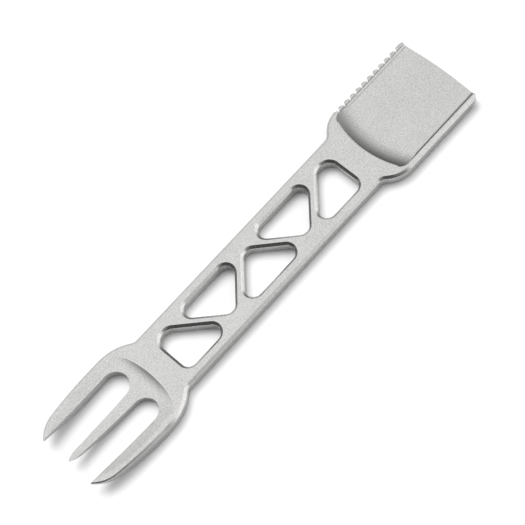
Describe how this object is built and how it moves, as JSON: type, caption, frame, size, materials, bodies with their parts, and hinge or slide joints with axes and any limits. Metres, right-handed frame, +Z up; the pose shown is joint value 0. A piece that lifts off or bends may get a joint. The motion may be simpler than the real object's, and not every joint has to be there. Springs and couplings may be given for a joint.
{
  "type": "spork",
  "caption": "Flat metal spork: dished fork with long tines at one end, shallow square-ended scoop with one serrated side at the other, truss windows through the handle.",
  "frame": {"origin": "middle of the overall box, on the flat underside", "axes": "+X along the handle towards the scoop, +Y towards the serrated side, +Z up out of the dished side"},
  "size_m": [0.1448, 0.0278, 0.0047],
  "materials": {
    "metal": "fine bead-blasted bare metal, matt, like titanium"
  },
  "bodies": {
    "root": {"serrated_side_tine": "metal", "middle_tine": "metal", "plain_side_tine": "metal", "fork_palm": "metal", "serrated_side_rail": "metal", "plain_side_rail": "metal", "first_diagonal": "metal", "second_diagonal": "metal", "third_diagonal": "metal", "fourth_diagonal": "metal", "scoop_neck": "metal", "scoop_floor": "metal", "serrated_rim": "metal", "plain_rim": "metal"}
  },
  "joints": []
}
